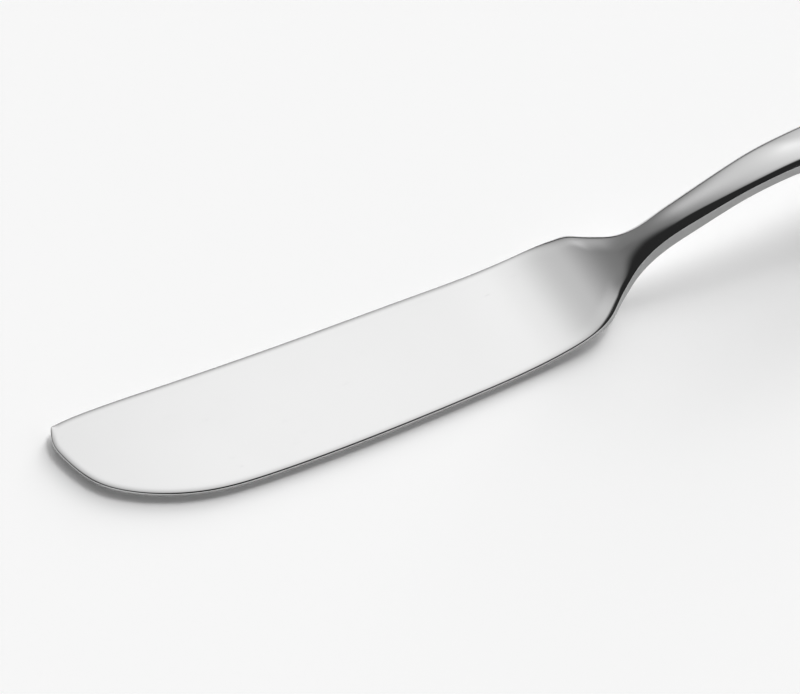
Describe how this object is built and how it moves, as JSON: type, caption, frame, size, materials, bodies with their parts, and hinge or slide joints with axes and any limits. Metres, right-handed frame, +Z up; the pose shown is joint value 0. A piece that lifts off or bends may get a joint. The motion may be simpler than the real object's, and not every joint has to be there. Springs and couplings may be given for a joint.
{
  "type": "fish knife",
  "caption": "One-piece polished steel fish knife with a broad blunt blade, a narrow steep neck and an arched handle.",
  "frame": {"origin": "middle of the footprint, on the table: halfway between the nose and the handle's end, halfway across the blade", "axes": "+X from the blade's nose to the handle's end, +Y towards the blade's straight back edge, +Z up"},
  "size_m": [0.2108, 0.0228, 0.018],
  "materials": {
    "polished_steel": "mirror-polished stainless steel with fine wiping scratches"
  },
  "bodies": {
    "root": {"blade": "polished_steel", "neck": "polished_steel", "handle": "polished_steel"}
  },
  "joints": []
}
